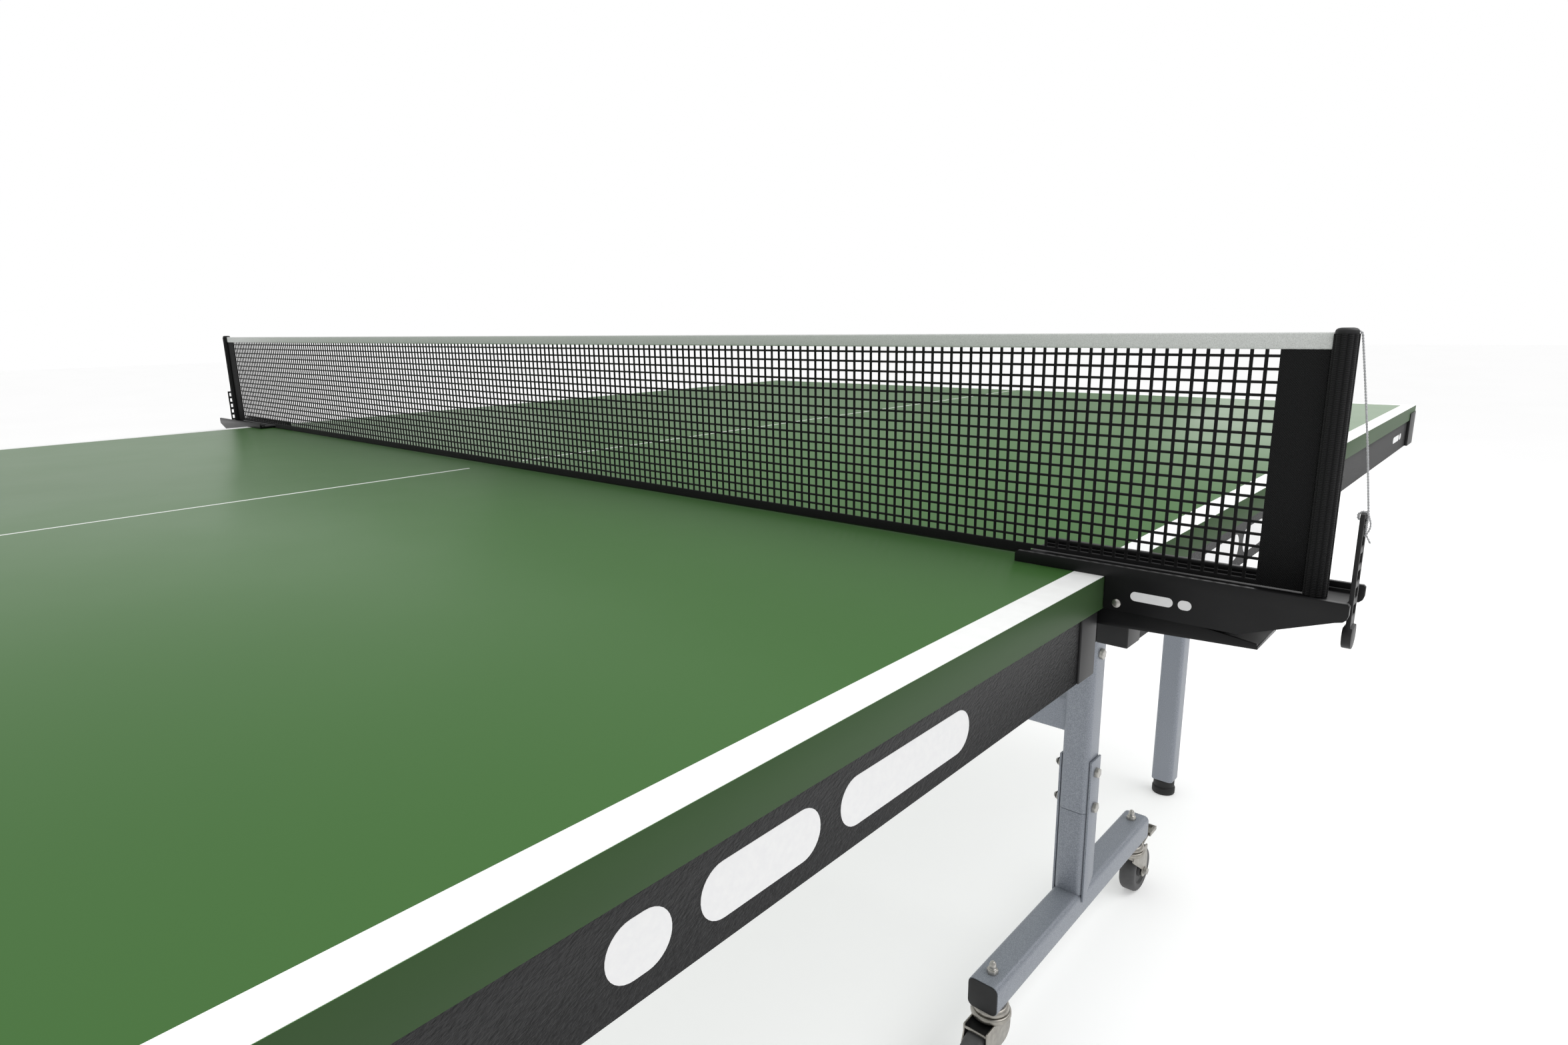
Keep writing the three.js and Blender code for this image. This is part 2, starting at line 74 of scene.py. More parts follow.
TUBE = {"half": 20, "round": 8, "wall": 2}
LEG_X = (FOOT_LOW.x + FOOT_HIGH.x) / 2
LEG = {"x": LEG_X, "y": 527, "half": 19.4, "foot": 100, "seam": 264.15, "top": 693.5, "bolts": (270, 322)}
RAIL = {"y": (515, 540), "z": (374, 422)}
OUTER_X = (OUTER_LOW.x + OUTER_HIGH.x) / 2
OUTER_Y = (OUTER_LOW.y + OUTER_HIGH.y) / 2
OUTER = {"x": OUTER_X, "y": OUTER_Y, "bottom": 30, "top": 690}
OUTER_RAIL = {"y": (1121, 1141), "z": (560, 600)}
SIDE_STRAP = {"half": 15, "low": 128, "bend": 157, "high": 342}
EAR_LOW = 640
FOLD_PIVOT = (495, 700)
OUTER_PIVOT = (1102.5, 700)
ARM = {"z": 493, "x": (490, 510), "y": (523.5, 1131), "r": 13}
CASTOR = {"inner": 296.5, "outer": 750.5, "trail": 33, "r": 37.5, "half": 12.5, "inside": 14, "wall": 2.5}
FORK = {"front": -20, "crown": 6, "back": 24, "end": 39, "under": 80, "top": 84}
POST_X = (POST_LOW.x + POST_HIGH.x) / 2
POST = {"x": POST_X, "columns": 12, "r": 6.5, "bore": 5.5, "tube": 5.4, "cap": 5.8}
POST.update({"foot": POST_LOW.z, "sleeve": 912.4})
NET = {"mesh": 846, "band": 871, "hem": 767.4, "row": 772.7, "pitch": 7.49, "tape": 903.8}
NET_COLUMNS, NET_ROWS = 212, 18
RIVET = (771.5, 743.8)
PLATE_FACE = 25
STRAP = {"x": (894.5, 896.8), "half": 6}


# ---- shapes: each returns a bmesh in millimetres ----
def arc(centre, r, start, end, steps):
    """Points of a circle's arc, with the angles in degrees."""
    angles = [math.radians(start + (end - start) * i / steps) for i in range(steps + 1)]
    return [(centre[0] + r * math.cos(a), centre[1] + r * math.sin(a)) for a in angles]


def rounded(x0, x1, y0, y1, r, steps=5):
    return [
        *arc((x1 - r, y1 - r), r, 0, 90, steps),
        *arc((x0 + r, y1 - r), r, 90, 180, steps),
        *arc((x0 + r, y0 + r), r, 180, 270, steps),
        *arc((x1 - r, y0 + r), r, 270, 360, steps),
    ]


def square_tube(x, y, half, r=TUBE["round"]):
    return rounded(x - half, x + half, y - half, y + half, r)


PLACES = {"x": (1, 2, 0), "y": (0, 2, 1), "z": (0, 1, 2)}


def point(axis, a, b, along):
    place = [0.0, 0.0, 0.0]
    for index, value in zip(PLACES[axis], (a, b, along)):
        place[index] = value
    return place


def prism(axis, shape, low, high):
    bm = bmesh.new()
    ends = [[bm.verts.new(point(axis, a, b, along)) for a, b in shape] for along in (low, high)]
    for end in ends:
        bm.faces.new(end)
    for i in range(len(shape)):
        j = (i + 1) % len(shape)
        bm.faces.new((ends[0][i], ends[0][j], ends[1][j], ends[1][i]))
    return bm


def block(x0, x1, y0, y1, z0, z1):
    return prism("z", [(x0, y0), (x1, y0), (x1, y1), (x0, y1)], z0, z1)


def loft(rings):
    """A closed solid through rings of equal length; the last joins the first."""
    bm = bmesh.new()
    made = [[bm.verts.new(p) for p in ring] for ring in rings]
    for ring, following in zip(made, made[1:] + made[:1]):
        for i in range(len(ring)):
            j = (i + 1) % len(ring)
            bm.faces.new((ring[i], ring[j], following[j], following[i]))
    return bm


def hollow(axis, outer, inner, low, high):
    places = ((outer, low), (outer, high), (inner, high), (inner, low))
    return loft([[point(axis, a, b, along) for a, b in shape] for shape, along in places])


def lathe(axis, at, profile, sides=32):
    """Turns (radius, height) pairs about an axis. Where they don't end on it, they close on themselves."""
    bm = bmesh.new()
    rings = []
    for r, height in profile:
        angles = [TURN * i / sides for i in range(sides if r else 1)]
        spots = [(at[0] + r * math.cos(a), at[1] + r * math.sin(a)) for a in angles]
        rings.append([bm.verts.new(point(axis, a, b, height)) for a, b in spots])
    pairs = list(zip(rings, rings[1:]))
    if profile[0][0] and profile[-1][0]:
        pairs.append((rings[-1], rings[0]))
    for first, second in pairs:
        for i in range(sides):
            j = (i + 1) % sides
            below = [first[i % len(first)], first[j % len(first)]]
            above = [second[j % len(second)], second[i % len(second)]]
            bm.faces.new(list(dict.fromkeys(below + above)))
    return bm


def rod(axis, at, r, low, high, sides=24, edge=0.4):
    e = math.copysign(edge, high - low)
    side = [(r - edge, low), (r, low + e), (r, high - e), (r - edge, high)]
    return lathe(axis, at, [(0, low), *side, (0, high)], sides)


def sweep(path, r, sides=8):
    """A round bar along points, with closed ends."""
    bm = bmesh.new()
    rings = []
    up = Vector((0, 1, 0))
    for i, p in enumerate(path):
        ahead = (Vector(path[min(i + 1, len(path) - 1)]) - Vector(path[max(i - 1, 0)])).normalized()
        side = ahead.cross(up).normalized()
        up = side.cross(ahead).normalized()
        ring = []
        for k in range(sides):
            a = TURN * k / sides
            ring.append(bm.verts.new(Vector(p) + r * (side * math.cos(a) + up * math.sin(a))))
        rings.append(ring)
    for ring, following in zip(rings, rings[1:]):
        for i in range(sides):
            j = (i + 1) % sides
            bm.faces.new((ring[i], ring[j], following[j], following[i]))
    bm.faces.new(rings[0])
    bm.faces.new(rings[-1])
    return bm


def joined(*parts):
    whole = bmesh.new()
    for part in parts:
        mesh = bpy.data.meshes.new("part")
        part.to_mesh(mesh)
        part.free()
        whole.from_mesh(mesh)
        bpy.data.meshes.remove(mesh)
    return whole


def soft(bm, width, segments=2, sharp=30):
    """Rounds the sharp edges of one solid."""
    bmesh.ops.recalc_face_normals(bm, faces=bm.faces)
    edges = [e for e in bm.edges if e.is_manifold and e.calc_face_angle(0) > math.radians(sharp)]
    settings = {"segments": segments, "profile": 0.5, "affect": "EDGES", "clamp_overlap": True}
    bmesh.ops.bevel(bm, geom=edges, offset=width, **settings)
    return bm


def from_cad(node, width, segments=2):
    """A CAD node's own shape with its edges rounded."""
    bm = bmesh.new()
    bm.from_mesh(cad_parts[node].data)
    bmesh.ops.scale(bm, vec=(1 / MM,) * 3, verts=bm.verts)
    bmesh.ops.remove_doubles(bm, verts=bm.verts, dist=0.01)
    bmesh.ops.dissolve_limit(bm, angle_limit=math.radians(1), verts=bm.verts, edges=bm.edges)
    return soft(bm, width, segments)


def moved(bm, offset=(0, 0, 0), scale=(1, 1, 1)):
    bmesh.ops.scale(bm, vec=scale, verts=bm.verts)
    bmesh.ops.translate(bm, vec=offset, verts=bm.verts)
    return bm


def piece(name, bm, material, body, replaces=(), mirror=(1, 1), smooth=32):
    """Makes an object of a bmesh. mirror gives the half and side that a shape drawn in +X, +Y is for."""
    bmesh.ops.scale(bm, vec=(mirror[0] * MM, mirror[1] * MM, MM), verts=bm.verts)
    bmesh.ops.recalc_face_normals(bm, faces=bm.faces)
    mesh = bpy.data.meshes.new(name)
    bm.to_mesh(mesh)
    bm.free()
    mesh.materials.append(material)
    mesh.shade_smooth()
    mesh.set_sharp_from_angle(angle=math.radians(smooth))
    made = bpy.data.objects.new(name, mesh)
    bpy.context.scene.collection.objects.link(made)
    if body:
        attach(made, body)
    if replaces:
        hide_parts(*replaces)
    return made


# ---- materials ----
def srgb(*levels):
    return tuple((v / 255 / 12.92 if v <= 10 else ((v / 255 + 0.055) / 1.055) ** 2.4) for v in levels)


class Paint:
    """A procedural material. Its textures read the object's own coordinates, so they move with it."""

    def __init__(self, name, roughness, metallic=0.0, **sockets):
        self.material = bpy.data.materials.new(name)
        self.material.use_nodes = True
        self.tree = self.material.node_tree
        self.shader = self.tree.nodes["Principled BSDF"]
        self.shader.inputs["Roughness"].default_value = roughness
        self.shader.inputs["Metallic"].default_value = metallic
        for socket, value in sockets.items():
            self.shader.inputs[socket.replace("_", " ")].default_value = value
        self.place = self.node("ShaderNodeTexCoord").outputs["Object"]

    def node(self, kind, inputs=None, **settings):
        made = self.tree.nodes.new(kind)
        for name, value in settings.items():
            setattr(made, name, value)
        for name, value in (inputs or {}).items():
            if isinstance(value, bpy.types.NodeSocket):
                self.tree.links.new(value, made.inputs[name])
            else:
                made.inputs[name].default_value = value
        return made

    def stretched(self, scale, turn=(0, 0, 0)):
        angles = [math.radians(a) for a in turn]
        inputs = {"Vector": self.place, "Scale": scale, "Rotation": angles}
        return self.node("ShaderNodeMapping", inputs).outputs[0]

    def noise(self, size_mm, detail=2, stretch=(1, 1, 1), rough=0.5):
        inputs = {
            "Vector": self.stretched(stretch),
            "Scale": 1 / (size_mm * MM),
            "Detail": detail,
            "Roughness": rough,
        }
        return self.node("ShaderNodeTexNoise", inputs).outputs["Fac"]

    def grain(self, size_mm, along, turn):
        """Noise drawn out along a direction: turned first, then stretched."""
        turned = self.stretched((1, 1, 1), turn)
        drawn = self.node("ShaderNodeMapping", {"Vector": turned, "Scale": along}).outputs[0]
        inputs = {"Vector": drawn, "Scale": 1 / (size_mm * MM), "Detail": 3, "Roughness": 0.55}
        return self.node("ShaderNodeTexNoise", inputs).outputs["Fac"]

    def cells(self, size_mm):
        inputs = {"Vector": self.place, "Scale": 1 / (size_mm * MM)}
        return self.node("ShaderNodeTexVoronoi", inputs, feature="SMOOTH_F1").outputs["Distance"]

    def waves(self, pitch_mm, direction, turn=(0, 0, 0)):
        """Ridges a pitch apart; a wave texture's own period is pi / 10 of its coordinates."""
        scale = math.pi / 10 / (pitch_mm * MM)
        inputs = {"Vector": self.stretched((1, 1, 1), turn), "Scale": scale}
        return self.node("ShaderNodeTexWave", inputs, bands_direction=direction).outputs["Fac"]

    def math(self, operation, a, b):
        """One sum on a and b. The third number, which only MULTIPLY_ADD adds, is a half."""
        made = self.node("ShaderNodeMath", operation=operation)
        made.inputs[2].default_value = 0.5
        for socket, value in zip(made.inputs, (a, b)):
            if isinstance(value, bpy.types.NodeSocket):
                self.tree.links.new(value, socket)
            else:
                socket.default_value = value
        return made.outputs[0]

    def colours(self, factor, *stops):
        """The base colour, by a factor: (place, sRGB) stops."""
        ramp = self.node("ShaderNodeValToRGB", {"Fac": factor})
        elements = ramp.color_ramp.elements
        while len(elements) < len(stops):
            elements.new(0.5)
        for element, (place, colour) in zip(elements, stops):
            element.position = place
            element.color = (*srgb(*colour), 1)
        self.tree.links.new(ramp.outputs["Color"], self.shader.inputs["Base Color"])
        return self

    def glosses(self, factor, low, high):
        made = self.node("ShaderNodeMapRange", {"Value": factor, "To Min": low, "To Max": high})
        self.tree.links.new(made.outputs[0], self.shader.inputs["Roughness"])
        return self

    def bumps(self, height, distance_mm, strength=1.0):
        inputs = {"Height": height, "Distance": distance_mm * MM, "Strength": strength}
        before = self.shader.inputs["Normal"].links
        if before:
            inputs["Normal"] = before[0].from_socket
        made = self.node("ShaderNodeBump", inputs)
        self.tree.links.new(made.outputs[0], self.shader.inputs["Normal"])
        return self


def make_green_top():
    paint = Paint("green_lacquer", 0.34, Specular_IOR_Level=0.22)
    paint.colours(paint.noise(600, 3), (0.3, (62, 104, 49)), (0.7, (66, 108, 53)))
    paint.glosses(paint.noise(90, 4), 0.32, 0.37)
    return paint.bumps(paint.noise(0.9, 3), 0.05, 0.35).material


def make_green_edge():
    paint = Paint("green_edge_band", 0.55, Specular_IOR_Level=0.15)
    paint.colours(paint.noise(40, 3, (0.1, 0.1, 1)), (0.3, (50, 75, 43)), (0.7, (55, 80, 47)))
    return paint.bumps(paint.noise(1.6, 3, (0.3, 0.3, 1)), 0.06, 0.4).material


def make_white_paint():
    paint = Paint("white_line_paint", 0.5)
    paint.colours(paint.noise(12, 3), (0.3, (244, 245, 244)), (0.7, (250, 251, 250)))
    return paint.bumps(paint.noise(0.7, 2), 0.04, 0.4).material


def make_leather():
    """Fine wrinkles, drawn out at a slant along the rail, with a painted highlight on each ridge."""
    paint = Paint("black_leather_grain", 0.5, Specular_IOR_Level=0.3)
    wrinkles_and_ridge_highlights = paint.grain(1.15, (0.42, 0.42, 1), (-24, 0, 0))
    # The black follows the wrinkles: painted highlight on the ridges, painted shade in the creases.
    paint.colours(wrinkles_and_ridge_highlights, (0.35, (21, 21, 22)), (0.65, (37, 37, 38)))
    paint.bumps(wrinkles_and_ridge_highlights, 0.9)
    return paint.bumps(paint.noise(0.5, 2), 0.1, 0.35).material


def make_print_white():
    paint = Paint("white_print", 0.55)
    paint.colours(paint.noise(3, 2), (0.3, (229, 229, 230)), (0.7, (233, 233, 233)))
    return paint.bumps(paint.noise(1.2, 2), 0.04, 0.4).material


def make_moulding():
    paint = Paint("black_moulding", 0.46, Specular_IOR_Level=0.35)
    paint.colours(paint.noise(30, 3), (0.3, (26, 26, 27)), (0.7, (33, 33, 34)))
    return paint.bumps(paint.noise(0.6, 2), 0.06, 0.5).material


def make_black_steel():
    paint = Paint("satin_black_steel", 0.36, Specular_IOR_Level=0.25)
    paint.colours(paint.noise(25, 3), (0.3, (17, 17, 18)), (0.7, (23, 23, 24)))
    paint.glosses(paint.noise(18, 3), 0.3, 0.4)
    return paint.bumps(paint.noise(0.8, 3), 0.04, 0.4).material


def make_rubber():
    paint = Paint("black_rubber", 0.62)
    paint.colours(paint.noise(14, 3), (0.3, (17, 17, 18)), (0.7, (24, 24, 25)))
    return paint.bumps(paint.noise(0.5, 2), 0.08, 0.6).material


def make_hammertone():
    paint = Paint("grey_hammertone", 0.42, 0.25)
    speckle = paint.noise(1.1, 3)
    paint.colours(speckle, (0.3, (120, 125, 134)), (0.5, (137, 142, 151)), (0.75, (160, 165, 174)))
    paint.glosses(speckle, 0.36, 0.5)
    paint.bumps(paint.cells(2.4), 0.22, 0.5)
    return paint.bumps(paint.noise(0.6, 2), 0.08, 0.4).material


def make_nickel():
    paint = Paint("satin_nickel", 0.36, 1.0)
    paint.colours(paint.noise(9, 3), (0.3, (148, 145, 139)), (0.7, (172, 168, 161)))
    paint.glosses(paint.noise(5, 4), 0.3, 0.44)
    return paint.bumps(paint.noise(1.2, 3), 0.05, 0.35).material


def make_zinc():
    paint = Paint("zinc_fastener", 0.34, 0.9)
    paint.colours(paint.noise(4, 3), (0.3, (158, 156, 152)), (0.7, (188, 186, 181)))
    paint.glosses(paint.noise(3, 3), 0.28, 0.42)
    return paint.bumps(paint.noise(0.7, 2), 0.03, 0.4).material


def make_tyre():
    paint = Paint("grey_tyre", 0.6)
    paint.colours(paint.noise(10, 3), (0.3, (70, 70, 71)), (0.7, (80, 80, 81)))
    return paint.bumps(paint.noise(0.9, 3), 0.08, 0.5).material


def make_hub():
    paint = Paint("dark_hub", 0.5)
    paint.colours(paint.noise(8, 2), (0.3, (52, 52, 53)), (0.7, (60, 60, 61)))
    return paint.bumps(paint.noise(0.6, 2), 0.05, 0.5).material


def make_netting():
    paint = Paint("black_netting", 0.8, Specular_IOR_Level=0.3, Sheen_Weight=0.04)
    paint.colours(paint.noise(3, 2), (0.3, (10, 10, 11)), (0.7, (17, 17, 18)))
    paint.bumps(paint.waves(0.55, "DIAGONAL"), 0.14, 0.7)
    return paint.bumps(paint.noise(0.35, 2), 0.1, 0.5).material


def make_woven():
    """A fine twill: ridges one way, broken by a shallower set the other way."""
    paint = Paint("black_twill", 0.82, Specular_IOR_Level=0.3, Sheen_Weight=0.04)
    twill = paint.waves(0.95, "X", (0, 42, 0))
    across = paint.waves(0.8, "X", (0, -50, 0))
    weave = paint.math("MULTIPLY", twill, across)
    paint.colours(weave, (0.0, (6, 6, 7)), (0.8, (30, 30, 31)))
    paint.bumps(weave, 0.3, 0.8)
    return paint.bumps(paint.noise(5, 2), 0.15, 0.3).material


def make_knit():
    """Columns of short ribs round the post, each column half a rib out of step with its neighbours."""
    paint = Paint("black_knit", 0.85, Specular_IOR_Level=0.3, Sheen_Weight=0.04)
    rib_height = 0.98 * MM
    place = paint.node("ShaderNodeSeparateXYZ", {"Vector": paint.place}).outputs
    out = paint.math("SUBTRACT", paint.math("ABSOLUTE", place["X"], 0), POST["x"] * MM)
    around = paint.math("ARCTAN2", place["Y"], out)
    column = paint.math("MULTIPLY", around, POST["columns"])
    sag = paint.math("MULTIPLY", paint.math("COSINE", column, 0), 0.08 * MM)
    uneven = paint.math("MULTIPLY", paint.noise(3, 2), 0.3 * MM)
    height = paint.math("ADD", paint.math("ADD", place["Z"], sag), uneven)
    half_way = paint.math("COSINE", paint.math("MULTIPLY", column, 0.5), 0)
    ribs = paint.math("SINE", paint.math("MULTIPLY", height, TURN / rib_height), 0)
    stepped = paint.math("MULTIPLY", ribs, paint.math("SIGN", half_way, 0))
    raised = paint.math("MULTIPLY_ADD", stepped, 0.5)  # half of it, plus a half
    crown = paint.math("POWER", paint.math("ABSOLUTE", half_way, 0), 0.7)
    stitch = paint.math("MULTIPLY", raised, crown)
    paint.colours(stitch, (0.1, (5, 5, 6)), (0.9, (38, 38, 39)))
    paint.bumps(stitch, 0.45, 0.9)
    return paint.bumps(paint.noise(0.4, 2), 0.1, 0.5).material


def make_tape():
    paint = Paint("speckled_tape", 0.85, Sheen_Weight=0.1)
    grain = paint.noise(0.42, 3, (1, 1, 1.3), 0.7)
    paint.colours(grain, (0.3, (188, 190, 188)), (0.5, (220, 222, 220)), (0.72, (242, 243, 242)))
    return paint.bumps(grain, 0.25, 0.7).material


def make_cord():
    paint = Paint("grey_twine", 0.7, Sheen_Weight=0.2)
    paint.colours(paint.noise(0.6, 2), (0.3, (168, 169, 171)), (0.7, (204, 205, 207)))
    return paint.bumps(paint.noise(0.25, 2), 0.05, 0.5).material


GREEN_TOP = make_green_top()
GREEN_EDGE = make_green_edge()
WHITE_PAINT = make_white_paint()
LEATHER = make_leather()
PRINT_WHITE = make_print_white()
MOULDING = make_moulding()
BLACK_STEEL = make_black_steel()
RUBBER = make_rubber()
HAMMERTONE = make_hammertone()
NICKEL = make_nickel()
ZINC = make_zinc()
TYRE = make_tyre()
HUB = make_hub()
NETTING = make_netting()
WOVEN = make_woven()
KNIT = make_knit()
TAPE = make_tape()
CORD = make_cord()


# ---- fasteners ----
def hexagon(across_flats, turn=0):
    r = across_flats / 2 / math.cos(math.pi / 6)
    return [(r * math.cos(turn + TURN * i / 6), r * math.sin(turn + TURN * i / 6)) for i in range(6)]


def hex_head(axis, at, face, height, across=13, turn=0.3):
    """A bolt head that stands on a face, towards the sign of its height."""
    rim = 0.8 * math.copysign(1, height)
    corners = [(at[0] + a, at[1] + b) for a, b in hexagon(across, turn)]
    top = [(at[0] + a * 0.86, at[1] + b * 0.86) for a, b in hexagon(across, turn)]
    bm = bmesh.new()
    levels = ((corners, face), (corners, face + height - rim), (top, face + height))
    rings = [[bm.verts.new(point(axis, a, b, h)) for a, b in shape] for shape, h in levels]
    for ring, following in zip(rings, rings[1:]):
        for i in range(6):
            j = (i + 1) % 6
            bm.faces.new((ring[i], ring[j], following[j], following[i]))
    bm.faces.new(rings[0])
    bm.faces.new(rings[-1])
    return soft(bm, 0.25, 1, 20)


def lock_nut(axis, at, face, sign):
    """A lock nut with its collar, and the end of the bolt in it."""
    nut = hex_head(axis, at, face, 5.6 * sign)
    collar = rod(axis, at, 5.4, face + 5 * sign, face + 7.6 * sign)
    bolt = rod(axis, at, 3.6, face + 7 * sign, face + 10.4 * sign, 16, 0.7)
    return nut, collar, bolt


def acorn_nut(at, face):
    """A domed nut that stands up from the foot's top."""
    nut = hex_head("z", at, face, 6, 12.5)
    collar = [(0, face + 5), (5.4, face + 5), (5.4, face + 6.6), (4.4, face + 7.4)]
    dome = [*collar, (4.4, face + 11), (3.8, face + 13.2)]
    tip = [(2.6, face + 15), (1.2, face + 15.9), (0, face + 16.1)]
    return joined(nut, lathe("z", at, [*dome, *tip], 20))


# ---- table tops ----
def add_board(half, y, body):
    low, high = BOARD_LOW, BOARD_HIGH
    board = soft(block(low.x, high.x, low.y, high.y, low.z, high.z), 0.4, 2)
    top = piece(f"{half}_table_top", board, GREEN_TOP, body, [f"{half}_board"], (1, y))
    top.data.materials.append(GREEN_EDGE)
    for face in top.data.polygons:
        face.material_index = 0 if face.normal.z > 0.5 else 1


def add_lines(half, y, body):
    """The painted border and centre line, a thin coat on the lacquer."""
    width, edge, coat = 20, 0.3, 0.12
    x, y0, y1, z = BOARD_HIGH.x - edge, BOARD_LOW.y + 0.6, BOARD_HIGH.y - edge, BOARD_HIGH.z
    right = [(x, y0), (x, y1), (-x, y1), (-x, y0), (width - x, y0), (width - x, y1 - width)]
    border = prism("z", [*right, (x - width, y1 - width), (x - width, y0)], z - 0.05, z + coat)
    centre = block(-1.5, 1.5, 36, y1 - width, z - 0.05, z + coat)
    piece(f"{half}_border_line", border, WHITE_PAINT, body, mirror=(1, y))
    piece(f"{half}_centre_line", centre, WHITE_PAINT, body, mirror=(1, y))


def add_apron(half, body):
    rails = from_cad(f"{half}_apron_frame", 0.7)
    piece(f"{half}_apron", rails, LEATHER, body, [f"{half}_apron_frame"])
    for side in SIDES:
        name = f"{half}_{side}"
        for part in ("corner_bracket", "end_protector"):
            guard = from_cad(f"{name}_{part}", 0.8, 3)
            piece(f"{name}_{part}_cover", guard, MOULDING, body, [f"{name}_{part}"])


def capsule(x0, x1, z0, z1):
    return rounded(x0, x1, z0, z1, (z1 - z0) / 2 - 0.01, 8)


def add_prints(half, y, body):
    """Plain white bars where the aprons carry a print."""
    face = APRON_HIGH.x
    near_net = ((190, 300, 704, 728), (314, 384, 704, 728), (398, 428, 704, 728))
    bars = (*near_net, (1172, 1230, 712, 722), (1236, 1252, 712, 722))
    for side, x in SIDES.items():
        shapes = [prism("x", capsule(*bar), face - 0.1, face + 0.12) for bar in bars]
        piece(f"{half}_{side}_apron_bars", joined(*shapes), PRINT_WHITE, body, mirror=(x, y))


# ---- legs ----
def ear(pivot, leg_from, leg_to, top, low):
    """The outline of a plate on a leg's face that reaches out round the fold's pivot."""
    return [(leg_to, low + 8), (leg_to, top), *arc(pivot, 10, 60, 216, 14), (leg_from, low)]


def leg_ears(x, half, shape):
    return [soft(prism("x", shape, x + s * half, x + s * (half + 3)), 0.5, 2, 50) for s in (-1, 1)]


def add_leg_frame(half, y, body):
    x, half_width = LEG["x"], LEG["half"]
    shape = ear(FOLD_PIVOT, LEG["y"] - 14, LEG["y"] + 14, LEG["top"] - 4, EAR_LOW)
    parts = []
    for s in (1, -1):
        upright = prism("z", square_tube(x, LEG["y"], half_width), LEG["seam"] + 0.25, LEG["top"])
        tube = soft(upright, 0.5, 2, 50)
        pin = rod("x", FOLD_PIVOT, 5, x - half_width - 2, x + half_width + 2)
        parts += [moved(part, scale=(s, 1, 1)) for part in (tube, pin, *leg_ears(x, half_width, shape))]
    section = rounded(*RAIL["y"], *RAIL["z"], 4)
    parts.append(prism("x", section, half_width - x, x - half_width))
    node = f"{half}_leg_frame"
    piece(f"{half}_t_legs", joined(*parts), HAMMERTONE, body, [node], (1, y))


def strap_shape():
    """The outline of the flat strap that holds a leg to its foot, cut at a slant below."""
    y0, y1 = LEG["y"] - SIDE_STRAP["half"], LEG["y"] + SIDE_STRAP["half"]
    low, bend, high = SIDE_STRAP["low"], SIDE_STRAP["bend"], SIDE_STRAP["high"]
    return [(y0 + 1.5, low), (y1, bend), (y1, high), (y0, high), (y0, low + 1.5)]


def add_leg_base(name, mirror, body):
    x, half_width, foot = LEG["x"], LEG["half"], LEG["foot"]
    middle = foot + TUBE["half"]
    outer = square_tube(x, middle, TUBE["half"])
    inner = square_tube(x, middle, TUBE["half"] - TUBE["wall"], TUBE["round"] - TUBE["wall"])
    tube = soft(hollow("y", outer, inner, FOOT_LOW.y, FOOT_HIGH.y), 0.3, 1, 60)
    stub = prism("z", square_tube(x, LEG["y"], half_width), foot + 2 * TUBE["half"] - 1, LEG["seam"] - 0.25)
    parts = [tube, soft(stub, 0.5, 2, 50)]
    for s in (-1, 1):
        inside = half_width + 0.3
        parts.append(soft(prism("x", strap_shape(), x + s * inside, x + s * (inside + 3)), 0.5, 2))
    node = f"{name}_leg_base"
    piece(f"{name}_t_foot", joined(*parts), HAMMERTONE, body, [node], mirror)
    plug = square_tube(x, middle, TUBE["half"] - TUBE["wall"] - 0.1, TUBE["round"] - TUBE["wall"] - 0.1)
    near, far = FOOT_LOW.y + 0.9, FOOT_HIGH.y - 0.9
    caps = [soft(prism("y", plug, *span), 0.8, 3, 50) for span in ((near, near + 9), (far - 9, far))]
    cover = square_tube(x, middle, TUBE["half"] - 0.7, TUBE["round"] - 0.7)
    ends = ((FOOT_LOW.y - 1.6, FOOT_LOW.y - 0.05), (FOOT_HIGH.y + 0.05, FOOT_HIGH.y + 1.6))
    caps += [soft(prism("y", cover, *span), 0.6, 3, 50) for span in ends]
    piece(f"{name}_foot_caps", joined(*caps), MOULDING, body, mirror=mirror)


def add_leg_fasteners(name, mirror, body):
    x, y = LEG["x"], LEG["y"]
    strap_face = LEG["half"] + 3.3
    ear_face = LEG["half"] + 3
    metal, black = [], []
    for z in LEG["bolts"]:
        metal.append(hex_head("x", (y, z), x + strap_face, 5.3, turn=z))
        nut, collar, bolt = lock_nut("x", (y, z), x - strap_face, -1)
        metal += [nut, bolt]
        black.append(collar)
    metal.append(hex_head("x", (ARM["y"][0], ARM["z"]), x + LEG["half"], 5.3))
    for s in (-1, 1):
        metal.append(hex_head("x", FOLD_PIVOT, x + s * ear_face, s * 4.6, turn=s))
    for reach in (CASTOR["inner"], CASTOR["outer"]):
        metal.append(acorn_nut((x, reach), LEG["foot"] + 2 * TUBE["half"]))
    piece(f"{name}_leg_bolts", joined(*metal), ZINC, body, mirror=mirror)
    piece(f"{name}_lock_collars", joined(*black), MOULDING, body, mirror=mirror)


